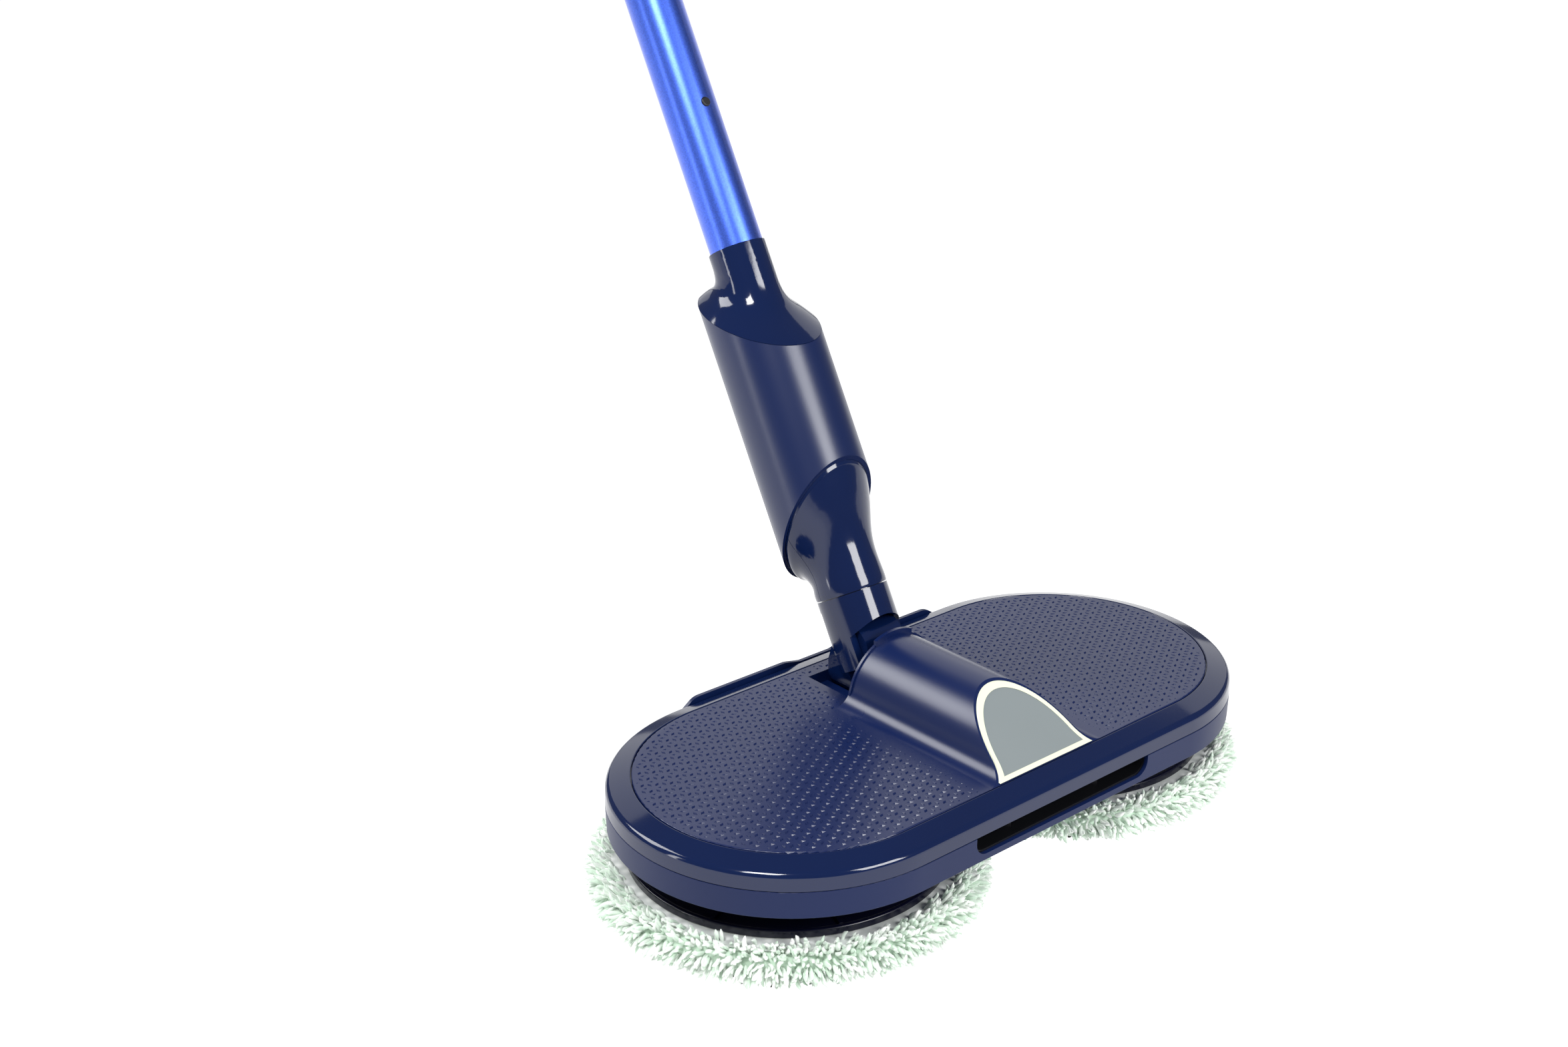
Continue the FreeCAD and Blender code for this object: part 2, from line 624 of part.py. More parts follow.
def make_drive():
    plate = box(-END_X - 16, END_X + 16, PLATE_FRONT_Y, PLATE_REAR_Y, PLATE_Z,
                PLATE_Z + PLATE_THICK)
    saddle = rod(ROLL_HOUSING_R + FIT, Vector(0, -6, ROLL_Z), ALONG_Y, PLATE_REAR_Y + 10)
    plate = plate.cut(saddle)
    cup = ring(MOTOR_R + FIT + 2, MOTOR_R + FIT, MOTOR_Z - 0.8, PLATE_Z + 1, 0, MOTOR_Y)
    cup_floor = ring(MOTOR_R + FIT + 2, 6, MOTOR_Z - 0.8, MOTOR_Z, 0, MOTOR_Y)
    plate = fuse([plate, cup, cup_floor])
    plate = plate.cut(cylinder(MOTOR_R + FIT, MOTOR_Z, 100, 0, MOTOR_Y))
    for centre in (right_step, left_step, left_idler):
        plate = bored(plate, centre, AXLE_R)
    for side in SIDES.values():
        plate = bored(plate, Vector(side * END_X, DISC_Y, 0), BEARING_R)
    for x, y in ((0, PLATE_FRONT_Y + 4), (38, PLATE_REAR_Y - 4), (-38, PLATE_REAR_Y - 4)):
        plate = plate.fuse(cylinder(3, FLOOR_Z, PLATE_Z, x, y))
    save("drive_plate", plate.removeSplitter())
    top = MOTOR_Z + MOTOR_LENGTH
    can = lathe([(0, MOTOR_Z), (MOTOR_R, MOTOR_Z), (MOTOR_R, top, 1.5), (5, top), (5, top + 1.5),
                 (0, top + 1.5)], 0, MOTOR_Y)
    save("drive_motor", can)
    save("motor_shaft", cylinder(1.0, FAST_Z - 0.5, MOTOR_Z - FIT, 0, MOTOR_Y))


def make_hinge():
    start = Vector(0, 0, ROLL_Z)
    length = BRIDGE_REAR_Y - 2.5 - 0.2
    housing = rod(ROLL_HOUSING_R, start, ALONG_Y, length)
    flange = rod(ROLL_HOUSING_R + 5, Vector(0, length - 3, ROLL_Z), ALONG_Y, 3)
    housing = fuse([housing, flange])
    housing = housing.cut(rod(ROLL_SHAFT_R + RUNNING, Vector(0, -5, ROLL_Z), ALONG_Y, 60))
    save("roll_housing", housing.cut(hinge_pocket(2.0)))
    rear_end = POCKET_Y - 4.0
    head = rod(ROLL_SHAFT_R + 2.5, Vector(0, -4, ROLL_Z), ALONG_Y, 4 - GAP)
    shaft = rod(ROLL_SHAFT_R, Vector(0, -2, ROLL_Z), ALONG_Y, rear_end + 2)
    save("roll_shaft", fuse([head, shaft]))
    pivot = pivot_point()
    boss = rod(BLOCK_BOSS_R, Vector(-BLOCK_HALF, pivot.y, pivot.z), ALONG_X, 2 * BLOCK_HALF)
    front = BRIDGE_REAR_Y + 0.8
    body = sideways([
        (front, ROLL_Z), (POCKET_Y - 2, ROLL_Z), (POCKET_Y - 2, ROLL_Z + 7),
        (pivot.y + BLOCK_BOSS_R - 0.3, pivot.z), (pivot.y - BLOCK_BOSS_R + 0.3, pivot.z),
        (front, pivot.z - 8),
    ], -BLOCK_HALF, BLOCK_HALF)
    root = rod(BLOCK_HALF, Vector(0, front, ROLL_Z), ALONG_Y, POCKET_Y - 2 - front)
    block = fuse([boss, body, root])
    block = block.cut(rod(ROLL_SHAFT_R, Vector(0, 0, ROLL_Z), ALONG_Y, rear_end))
    block = block.cut(rod(TILT_PIN_R + RUNNING, Vector(-30, pivot.y, pivot.z), ALONG_X, 60))
    save("swivel_block", block)
    reach = COLLAR_R - 0.6
    save("tilt_pin", rod(TILT_PIN_R, Vector(-reach, pivot.y, pivot.z), ALONG_X, 2 * reach))


def pivot_point():
    turn = math.radians(TILT)
    return Vector(0, POLE_Y + PIVOT_S * math.sin(turn), POLE_Z + PIVOT_S * math.cos(turn))


# ---- lower pole assembly ------------------------------------------------------------------
def make_yoke():
    collar = cylinder(COLLAR_R, COLLAR_S, COLLAR_TOP_S)
    hollow = cylinder(COLLAR_R - COLLAR_WALL, COLLAR_S - 1, REAR_ARCH_S)
    cheeks = box(-30, -BLOCK_HALF - GAP, -PRONG_HALF, PRONG_HALF, COLLAR_S, REAR_ARCH_S)
    cheeks = cheeks.fuse(cheeks.mirror(ORIGIN, ALONG_X))
    collar = collar.cut(hollow.cut(cheeks))
    arch = rod(ARCH_R, Vector(0, -40, ARCH_CROWN_S - ARCH_R), ALONG_Y, 40 - PRONG_HALF)
    arch = arch.common(box(-40, 40, -40, 40, COLLAR_S - 1, 200))
    collar = collar.cut(arch)
    rear = box(-40, 40, PRONG_HALF, 40, COLLAR_S - 1, REAR_ARCH_S)
    collar = collar.cut(rear)
    slot = box(-BLOCK_HALF - GAP, BLOCK_HALF + GAP, -PRONG_HALF - 1, PRONG_HALF + 1,
               COLLAR_S - 1, REAR_ARCH_S)
    collar = collar.cut(slot)
    spigot_r = COLLAR_R - SHELL_WALL - 5 * FIT
    spigot = ring(spigot_r, spigot_r - SHELL_WALL, COLLAR_TOP_S - 2, COLLAR_TOP_S + 13)
    collar = collar.fuse(spigot)
    collar = collar.cut(cylinder(6, REAR_ARCH_S - 1, COLLAR_TOP_S + 1))
    collar = collar.cut(rod(TILT_PIN_R, Vector(-COLLAR_R + 0.6, 0, PIVOT_S), ALONG_X,
                            2 * COLLAR_R - 1.2))
    save("yoke_collar", on_pole(collar.removeSplitter()))


NECK_SPIGOT_R = SLEEVE_R - SLEEVE_WALL - 2 * FIT
NECK_SWELL = NECK_SPIGOT_R - COLLAR_R
NECK = [
    (COLLAR_R, COLLAR_TOP_S + GROOVE, 0.0), (COLLAR_R - 0.2, 80.0, -0.22),
    (COLLAR_R - 0.1, 87.0, -0.48), (COLLAR_R + 0.202 * NECK_SWELL, 95.0, -0.63),
    (COLLAR_R + 0.595 * NECK_SWELL, 103.5, -0.78),
    (NECK_SPIGOT_R, SLEEVE_LOW_S - 1.5, -SLEEVE_LOW_SLOPE),
]


def make_neck():
    spigot_r = NECK[-1][0]
    foot = (spigot_r, SLEEVE_LOW_S - 2.0, -SLEEVE_LOW_SLOPE)
    top = (spigot_r, SLEEVE_LOW_S + SPIGOT, -SLEEVE_LOW_SLOPE)
    outer = skin(NECK).fuse(skin([foot, top], True))
    inner = [(radius - SHELL_WALL, height, slope) for radius, height, slope in NECK]
    inner[0] = (inner[0][0], inner[0][1] - 1, 0.0)
    foot = (spigot_r - SHELL_WALL, SLEEVE_LOW_S - 2.0, -SLEEVE_LOW_SLOPE)
    top = (spigot_r - SHELL_WALL, SLEEVE_LOW_S + SPIGOT + 1, -SLEEVE_LOW_SLOPE)
    shell = outer.cut(skin(inner)).cut(skin([foot, top], True))
    seam_y = 3.0
    half = GROOVE / 4
    save("neck_front", on_pole(shell.common(box(-60, 60, -60, seam_y - half, 0, 300))))
    save("neck_rear", on_pole(shell.common(box(-60, 60, seam_y + half, 60, 0, 300))))


def between_cuts(low, high):
    points = []
    for y, height, slope in (
        (-60, low, -SLEEVE_LOW_SLOPE), (60, low, -SLEEVE_LOW_SLOPE),
        (60, high, SLEEVE_TOP_SLOPE), (-60, high, SLEEVE_TOP_SLOPE),
    ):
        points.append((y, height + slope * y))
    return sideways(points, -60, 60)


def make_battery_housing():
    sleeve = ring(SLEEVE_R, SLEEVE_R - SLEEVE_WALL, 60, 300)
    sleeve = sleeve.common(between_cuts(SLEEVE_LOW_S, SLEEVE_TOP_S))
    jack_s = 118.0
    port = rod(5.5, Vector(0, 20, jack_s), ALONG_Y, 30)
    save("battery_sleeve", on_pole(sleeve.cut(port)))
    inside = SLEEVE_R - SLEEVE_WALL
    jack = rod(5.5 - FIT, Vector(0, inside - 9, jack_s), ALONG_Y, 8.4 + SLEEVE_WALL)
    jack = jack.cut(rod(2.8, Vector(0, inside - 4, jack_s), ALONG_Y, 20))
    jack = jack.fuse(rod(1.0, Vector(0, inside - 5, jack_s), ALONG_Y, 5))
    save("charge_jack", on_pole(jack))
    cells = []
    centre_r = CELL_R * 2 / math.sqrt(3) + 0.2
    for step in range(3):
        angle = math.radians(120 * step + 90)
        x = centre_r * math.cos(angle)
        y = centre_r * math.sin(angle)
        cells.append(lathe([
            (0, CELL_S), (CELL_R, CELL_S, 0.6), (CELL_R, CELL_S + CELL_LENGTH - 1, 0.6),
            (3, CELL_S + CELL_LENGTH - 1), (3, CELL_S + CELL_LENGTH), (0, CELL_S + CELL_LENGTH),
        ], x, y))
    save("battery_cells", on_pole(Part.makeCompound(cells)))
    plate_r = SLEEVE_R - SLEEVE_WALL - SHELL_WALL - 3 * FIT
    low = cylinder(plate_r, CELL_S - 2, CELL_S)
    high = cylinder(plate_r, CELL_S + CELL_LENGTH, CELL_S + CELL_LENGTH + 2)
    posts = []
    for step in range(3):
        angle = math.radians(120 * step + 30)
        x = (plate_r - 4) * math.cos(angle)
        y = (plate_r - 4) * math.sin(angle)
        posts.append(cylinder(2.2, CELL_S - 1, CELL_S + CELL_LENGTH + 1, x, y))
    save("cell_holder", on_pole(fuse([low, high] + posts)))
    board = box(-15, 15, -0.8, 0.8, CELL_S - 44, CELL_S - 2)
    parts = [board]
    for x, s, wide, tall, deep in ((-7, -36, 8, 8, 2), (6, -34, 6, 5, 3), (-3, -20, 14, 9, 4),
                                   (8, -15, 5, 5, 2), (-9, -10, 5, 4, 2.5)):
        parts.append(box(x - wide / 2, x + wide / 2, 0.7, 0.8 + deep, CELL_S + s,
                         CELL_S + s + tall))
    save("control_board", on_pole(fuse(parts)))


def make_socket():
    slope = SLEEVE_TOP_SLOPE
    seam = SLEEVE_TOP_S + 0.3
    flare = [(1.0, 0.0), (0.893, 1.6), (0.611, 5.6), (0.369, 9.0), (0.168, 13.2), (0.047, 18.5)]
    swell = SLEEVE_R - SOCKET_R
    rings = [(SOCKET_R + share * swell, seam + rise, slope) for share, rise in flare]
    rings.append((SOCKET_R, seam + 25.0, slope))
    body = skin(rings).fuse(skin([rings[-1], (SOCKET_R, SOCKET_TOP_S, 0.0)], True))
    spigot_r = SLEEVE_R - SLEEVE_WALL - FIT
    body = body.fuse(skin([(spigot_r, seam - SPIGOT, slope), (spigot_r, seam + 0.5, slope)], True))
    hollow = [(spigot_r - SHELL_WALL, -SPIGOT - 1), (spigot_r - SHELL_WALL, 0.0),
              (SOCKET_R - 0.1, 9.0)]
    body = body.cut(skin([(radius, seam + rise, slope) for radius, rise in hollow], True))
    collar_r = TUBE_R - TUBE_WALL - 0.3
    body = body.cut(cylinder(collar_r + FIT / 2, 200, 300))
    body = body.cut(cylinder(TUBE_R + FIT / 2, TUBE_SEAT_S, 300))
    save("upper_socket", on_pole(body.removeSplitter()))


def make_pole():
    inner = TUBE_R - TUBE_WALL
    stub_r = inner - 0.3
    stub = ring(stub_r, stub_r - 1.5, TUBE_SEAT_S - 22, STUB_TOP_S)
    button_hole = rod(BUTTON_R + 0.15, Vector(0, -30, BUTTON_S), ALONG_Y, 30)
    save("stub_tube", on_pole(stub.cut(button_hole)))
    tube = ring(TUBE_R, inner, TUBE_SEAT_S, TUBE_TOP_S).cut(button_hole)
    save("pole_tube", on_pole(tube))
    arm_y = -(stub_r - 1.5) + 2.6
    button = rod(BUTTON_R, Vector(0, arm_y, BUTTON_S), -ALONG_Y, TUBE_R + 0.9 + arm_y)
    button = button.makeFillet(0.8, [edge for edge in button.Edges
                                     if edge.BoundBox.YMax < -TUBE_R])
    leaf = box(-3.4, 3.4, arm_y, arm_y + 0.8, BUTTON_S - 22, BUTTON_S + 5)
    save("snap_button", on_pole(fuse([button, leaf])))
    back_y = stub_r - 1.5 - 1.4
    back = box(-3.4, 3.4, back_y - 0.8, back_y, BUTTON_S - 24, BUTTON_S + 5)
    bend = box(-3.4, 3.4, arm_y + 5.0, back_y, BUTTON_S - 25, BUTTON_S - 24)
    save("snap_spring", on_pole(fuse([back, bend])))


def make_clamp():
    body = lathe([
        (TUBE_R + FIT / 2, CLAMP_S), (TUBE_R + 2.6, CLAMP_S, 1.5), (TUBE_R + 3.2, CLAMP_TOP_S - 14, 3),
        (TUBE_R + 1.4, CLAMP_TOP_S, 1.2), (UPPER_TUBE_R + RUNNING, CLAMP_TOP_S),
        (UPPER_TUBE_R + RUNNING, TUBE_TOP_S + 0.2), (TUBE_R + FIT / 2, TUBE_TOP_S + 0.2),
    ])
    lugs = []
    reach = TUBE_R + 13.0
    for x in (-8, 4):
        lugs.append(box(x, x + 4, -reach, -TUBE_R - 1.5, CLAMP_S + 20, CLAMP_S + 34))
    body = fuse([body] + lugs)
    pin_y = -reach + 5
    pin_s = CLAMP_S + 27
    body = body.cut(rod(1.8, Vector(-8, pin_y, pin_s), ALONG_X, 16))
    save("clamp_body", on_pole(body))
    pin = rod(1.8, Vector(-8, pin_y, pin_s), ALONG_X, 16)
    save("clamp_pin", on_pole(pin))
    eye = rod(4.2, Vector(-4 + GAP, pin_y, pin_s), ALONG_X, 8 - 2 * GAP)
    handle = box(-8, 8, pin_y - 4.2, pin_y - 1.4, CLAMP_S - 14, pin_s - 9)
    handle = handle.makeFillet(1.0, handle.Edges)
    link = box(-4 + GAP, 4 - GAP, pin_y - 4.2, pin_y - 1.4, pin_s - 12, pin_s)
    lever = fuse([eye, link, handle])
    lever = lever.cut(rod(1.8 + RUNNING, Vector(-8, pin_y, pin_s), ALONG_X, 16))
    save("clamp_lever", on_pole(lever))


# ---- handle -------------------------------------------------------------------------------
def make_handle():
    wall = TUBE_WALL
    tube = ring(UPPER_TUBE_R, UPPER_TUBE_R - wall, UPPER_TUBE_S, GRIP_BORE_TOP_S)
    save("upper_tube", on_pole(tube))
    solid = lathe([
        (UPPER_TUBE_R + FIT / 2, GRIP_S), (GRIP_R - 1.5, GRIP_S, 1.2), (GRIP_R + 1.2, POWER_S, 60),
        (GRIP_R - 0.6, POWER_S + 50, 60), (GRIP_R + 1.4, GRIP_TOP_S, 7), (0, GRIP_TOP_S),
        (0, GRIP_BORE_TOP_S), (UPPER_TUBE_R + FIT / 2, GRIP_BORE_TOP_S),
    ])
    bore = rod(POWER_R + GAP, Vector(0, -UPPER_TUBE_R - 0.8, POWER_S), -ALONG_Y, 20)
    solid = solid.cut(bore)
    save("grip_front", on_pole(solid.common(box(-60, 60, -60, -0.05, 900, 1400))))
    save("grip_rear", on_pole(solid.common(box(-60, 60, 0.05, 60, 900, 1400))))
    outer = rod(LOOP_R, Vector(-3, 0, GRIP_TOP_S + LOOP_R - 1.5), ALONG_X, 6)
    inner = rod(LOOP_R - 3.5, Vector(-4, 0, GRIP_TOP_S + LOOP_R - 1.5), ALONG_X, 8)
    loop = outer.cut(inner).cut(cylinder(40, 1000, GRIP_TOP_S))
    save("hanging_loop", on_pole(loop))
    floor_y = -UPPER_TUBE_R - 0.8
    under_y = floor_y - 2.5
    top_y = -GRIP_R - 2.2
    button = rod(POWER_R, Vector(0, under_y, POWER_S), -ALONG_Y, under_y - top_y)
    button = button.makeFillet(0.6, [edge for edge in button.Edges if edge.BoundBox.YMax < top_y + 0.1])
    save("power_button", on_pole(button))
    switch = box(-2.2, 2.2, floor_y - 1.1, floor_y, POWER_S - 2.2, POWER_S + 2.2)
    save("power_switch", on_pole(switch))


make_gears()
for side_name in SIDES:
    make_disc_stack(side_name)
make_output_bearings()
make_deck()
make_rim()
make_lower_shell()
make_slot_tray()
make_rear_guard()
make_drive()
make_hinge()
make_yoke()
make_neck()
make_battery_housing()
make_socket()
make_pole()
make_clamp()
make_handle()
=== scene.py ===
import json
import math

import bmesh
import bpy
from mathutils import Matrix, Vector
from mathutils.geometry import delaunay_2d_cdt

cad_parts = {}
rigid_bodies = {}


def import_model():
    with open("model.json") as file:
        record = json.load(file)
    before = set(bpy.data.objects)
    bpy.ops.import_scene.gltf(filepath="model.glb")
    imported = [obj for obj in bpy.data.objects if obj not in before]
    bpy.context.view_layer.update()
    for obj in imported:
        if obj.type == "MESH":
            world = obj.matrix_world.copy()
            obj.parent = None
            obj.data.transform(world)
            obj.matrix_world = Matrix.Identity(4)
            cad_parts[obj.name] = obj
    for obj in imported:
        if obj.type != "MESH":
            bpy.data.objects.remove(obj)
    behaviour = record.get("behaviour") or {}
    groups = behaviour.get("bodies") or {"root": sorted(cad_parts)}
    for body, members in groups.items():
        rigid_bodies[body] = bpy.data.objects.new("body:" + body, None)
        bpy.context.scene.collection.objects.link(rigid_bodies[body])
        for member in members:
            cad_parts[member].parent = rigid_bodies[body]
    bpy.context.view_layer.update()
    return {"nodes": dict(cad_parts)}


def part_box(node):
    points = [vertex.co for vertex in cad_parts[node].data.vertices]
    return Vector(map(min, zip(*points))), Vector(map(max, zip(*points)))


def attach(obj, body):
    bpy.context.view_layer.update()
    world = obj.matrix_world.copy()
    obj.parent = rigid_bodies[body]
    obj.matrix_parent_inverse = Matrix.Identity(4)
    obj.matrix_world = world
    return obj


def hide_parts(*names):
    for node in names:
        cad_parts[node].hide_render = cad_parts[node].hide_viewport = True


for start_up in list(bpy.data.objects):
    bpy.data.objects.remove(start_up)
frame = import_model()

# Cordless spin mop.  Lengths below are in millimetres and MM turns them to the scene's metres.
MM = 0.001
END_X = 104.7             # centre of each half round end of the head
DECK_Z = 68.6             # top face of the deck
BRIDGE_FOOT = 42.85       # half width of the motor bridge where its fillets meet the deck
BRIDGE_REAR = 35.0        # rear end of the bridge, where the hinge pocket starts
POCKET_HALF = 28.0        # hinge pocket behind the bridge
POCKET_REAR = 75.0
SAME_HEIGHT = 1e-6        # metres: vertices this near the deck's height lie on its flat top
SOFT_CREASE = 28          # degrees: sharper edges than this are shaded sharp
DECK_CREASE = 22          # the pits' edges are blunter than other edges, and still stay crisp
LOFT_CREASE = 40          # lofted mouldings, whose facets turn faster than their real edges


# ---- materials ----------------------------------------------------------------------------
def linear(code):
    """sRGB hex colour as linear RGBA."""
    shares = [int(code[i:i + 2], 16) / 255 for i in (0, 2, 4)]
    return [v / 12.92 if v <= 0.04045 else ((v + 0.055) / 1.055) ** 2.4 for v in shares] + [1.0]


def add(tree, kind, inputs=None, **settings):
    """Adds a node: settings are its properties, inputs are values or the sockets that feed it."""
    node = tree.nodes.new(kind)
    for key, value in settings.items():
        setattr(node, key, value)
    for key, value in (inputs or {}).items():
        if isinstance(value, bpy.types.NodeSocket):
            tree.links.new(value, node.inputs[key])
        else:
            node.inputs[key].default_value = value
    return node


def new_material(name):
    made = bpy.data.materials.new(name)
    made.use_nodes = True
    made.node_tree.nodes.clear()
    tree = made.node_tree
    place = add(tree, "ShaderNodeTexCoord").outputs["Object"]
    return made, tree, place


def output(tree, shader):
    add(tree, "ShaderNodeOutputMaterial", {"Surface": shader.outputs[0]})


def moulded(name, colour, shade, rough, spread, grain_mm, depth_mm, coat=0.0, specular=0.5):
    """Moulded plastic: one colour that drifts slowly, and the tool's grain in bump and gloss."""
    made, tree, place = new_material(name)
    drift = add(tree, "ShaderNodeTexNoise", {"Vector": place, "Scale": 1000 / 55, "Detail": 2.0})
    tint = add(tree, "ShaderNodeMix", {0: drift.outputs["Fac"], 6: linear(colour), 7: linear(shade)},
               data_type="RGBA")
    grain = add(tree, "ShaderNodeTexNoise", {
        "Vector": place, "Scale": 1000 / grain_mm, "Detail": 3.0, "Roughness": 0.55})
    gloss = add(tree, "ShaderNodeMapRange", {
        "Value": drift.outputs["Fac"], 3: rough - spread, 4: rough + spread})
    bump = add(tree, "ShaderNodeBump", {
        "Strength": 1.0, "Distance": depth_mm * MM, "Height": grain.outputs["Fac"]})
    shader = add(tree, "ShaderNodeBsdfPrincipled", {
        "Base Color": tint.outputs[2], "Roughness": gloss.outputs[0], "Normal": bump.outputs[0],
        "IOR": 1.53, "Coat Weight": coat, "Coat Roughness": 0.04, "Specular IOR Level": specular})
    output(tree, shader)
    return made


def anodised(name, colour, shade):
    """Blasted, dyed and sealed aluminium: glitter of the blasted skin under the clear seal."""
    made, tree, place = new_material(name)
    blast = add(tree, "ShaderNodeTexNoise", {
        "Vector": place, "Scale": 1000 / 0.9, "Detail": 2.0, "Roughness": 0.7})
    tint = add(tree, "ShaderNodeMapRange", {"Value": blast.outputs["Fac"], 1: 0.36, 2: 0.64})
    dye = add(tree, "ShaderNodeMix", {0: tint.outputs[0], 6: linear(shade), 7: linear(colour)},
              data_type="RGBA")
    bump = add(tree, "ShaderNodeBump", {
        "Strength": 1.0, "Distance": 0.014 * MM, "Height": blast.outputs["Fac"]})
    shader = add(tree, "ShaderNodeBsdfPrincipled", {
        "Base Color": dye.outputs[2], "Metallic": 1.0, "Roughness": 0.36,
        "Normal": bump.outputs[0], "Coat Weight": 1.0, "Coat Roughness": 0.33})
    output(tree, shader)
    return made


def chenille(name):
    """Twisted microfibre chenille: each tuft keeps its own tint, with fibres as fine bump."""
    made, tree, place = new_material(name)
    tuft = add(tree, "ShaderNodeAttribute", attribute_name="tuft")
    ramp = add(tree, "ShaderNodeValToRGB", {"Fac": tuft.outputs["Fac"]})
    stops = ramp.color_ramp.elements
    stops[0].position, stops[0].color = 0.0, linear("D9EFDC")
    stops[1].position, stops[1].color = 1.0, linear("FDFFFC")
    middle = stops.new(0.5)
    middle.color = linear("EDF8EE")
    fibre = add(tree, "ShaderNodeTexNoise", {
        "Vector": place, "Scale": 1000 / 0.8, "Detail": 3.0, "Roughness": 0.7})
    shade = add(tree, "ShaderNodeMapRange", {"Value": fibre.outputs["Fac"], 3: 0.9, 4: 1.06})
    tint = add(tree, "ShaderNodeVectorMath", {0: ramp.outputs[0], "Scale": shade.outputs[0]},
               operation="SCALE")
    bump = add(tree, "ShaderNodeBump", {
        "Strength": 1.0, "Distance": 0.12 * MM, "Height": fibre.outputs["Fac"]})
    shader = add(tree, "ShaderNodeBsdfPrincipled", {
        "Base Color": tint.outputs[0], "Roughness": 0.95, "Normal": bump.outputs[0],
        "Sheen Weight": 0.6, "Specular IOR Level": 0.15})
    output(tree, shader)
    return made


def knitted(name, colour, shade, pitch_mm):
    """Knitted or hooked fabric: two crossed rows of stitches in colour and bump."""
    made, tree, place = new_material(name)
    rows = [add(tree, "ShaderNodeTexWave", {
        "Vector": place, "Scale": 1000 / pitch_mm / 20, "Distortion": 0.6, "Detail": 1.0},
        bands_direction=axis) for axis in ("X", "Y")]
    both = add(tree, "ShaderNodeMath", {0: rows[0].outputs["Fac"], 1: rows[1].outputs["Fac"]},
               operation="MULTIPLY")
    tint = add(tree, "ShaderNodeMix", {0: both.outputs[0], 6: linear(shade), 7: linear(colour)},
               data_type="RGBA")
    bump = add(tree, "ShaderNodeBump", {
        "Strength": 1.0, "Distance": 0.3 * MM, "Height": both.outputs[0]})
    shader = add(tree, "ShaderNodeBsdfPrincipled", {
        "Base Color": tint.outputs[2], "Roughness": 0.9, "Normal": bump.outputs[0],
        "Sheen Weight": 0.2})
    output(tree, shader)
    return made


def ground_steel(name):
    """Ground and turned steel: neutral metal with fine turning marks."""
    made, tree, place = new_material(name)
    marks = add(tree, "ShaderNodeTexNoise", {"Vector": place, "Scale": 1000 / 0.5, "Detail": 2.0})
    gloss = add(tree, "ShaderNodeMapRange", {"Value": marks.outputs["Fac"], 3: 0.22, 4: 0.38})
    bump = add(tree, "ShaderNodeBump", {
        "Strength": 1.0, "Distance": 0.01 * MM, "Height": marks.outputs["Fac"]})
    shader = add(tree, "ShaderNodeBsdfPrincipled", {
        "Base Color": linear("C4C6C9"), "Metallic": 1.0, "Roughness": gloss.outputs[0],
        "Normal": bump.outputs[0]})
    output(tree, shader)
    return made


# polished tool, high gloss ABS: a deep navy with sharp reflections and a faint orange peel
gloss_navy = moulded("gloss_navy_abs", "091A41", "08173C", 0.09, 0.02, 2.4, 0.005)
# spark eroded ABS: the same navy, softer and greyer, with a fine even grain
satin_navy = moulded("satin_navy_abs", "091B46", "081942", 0.31, 0.03, 0.8, 0.010)
# the skirt's tool was eroded coarser: dull beside the rim above it
skirt_navy = moulded("matt_navy_abs", "0A1C48", "091A44", 0.42, 0.03, 0.9, 0.014, specular=0.25)
# the deck's plastic is the same, a little glossier between its pits
deck_navy = moulded("deck_navy_abs", "0A1C4A", "091A46", 0.28, 0.03, 0.8, 0.010)
# plain black ABS of clamp, loop and slot: dull, so that its edges carry the light
black_abs = moulded("black_abs", "0E0F14", "0B0C10", 0.42, 0.05, 0.8, 0.015)
# polypropylene of the discs: nearly black navy with a waxy shine on the lip
disc_black = moulded("dark_navy_polypropylene", "0D0F26", "0A0B1E", 0.24, 0.05, 1.2, 0.012)
# sprayed plate and printed border of the badge: flat greys that stay even under any light
badge_field = moulded("sprayed_grey_badge", "80888A", "7A8284", 0.38, 0.04, 0.6, 0.006)
badge_edge = moulded("printed_ivory_border", "E4E7D0", "DBDEC6", 0.42, 0.03, 0.6, 0.006)
# smoked panes: almost black, told from the slot only by their sharp reflections
window_smoke = moulded("smoked_polycarbonate", "0B1A18", "081412", 0.06, 0.02, 3.0, 0.003)
# pieces out of sight in use: gears, seals, board and cells keep their trade colours
nylon = moulded("natural_nylon", "E6E5DC", "DCDBD0", 0.45, 0.05, 0.8, 0.012)
rubber = moulded("nitrile_rubber", "121212", "0D0D0D", 0.7, 0.05, 0.5, 0.02)
solder_mask = moulded("solder_mask_board", "12522C", "0E4526", 0.3, 0.04, 1.0, 0.006)
cell_film = moulded("shrink_film", "2E86A0", "277892", 0.22, 0.03, 2.0, 0.008)
# the one bright colour: blue metal with a broad pale highlight from its clear seal
blue_tube = anodised("blue_anodised_aluminium", "4673F2", "3A60D8")
# soft pale mint, lighter and darker tuft by tuft
pile = chenille("mint_chenille_pile")
# white cloth band beside the disc, and the dark tape that holds the pad
backing = knitted("knitted_polyester_backing", "EEF1EE", "C9CECB", 1.2)
hooks = knitted("hook_tape", "17171B", "08080A", 1.0)
# bright neutral metal of shafts, pins and screws
steel = ground_steel("ground_steel")

FINISH = {
    "navy_gloss": gloss_navy, "navy_satin": satin_navy, "black_plastic": black_abs,
    "blue_anodised": blue_tube, "badge_grey": badge_field, "badge_border": badge_edge,
    "tinted_window": window_smoke, "steel": steel, "white_nylon": nylon, "mint_pile": pile,
    "white_backing": backing, "hook_tape": hooks, "seal_rubber": rubber,
    "circuit_green": solder_mask, "cell_wrap": cell_film,
}


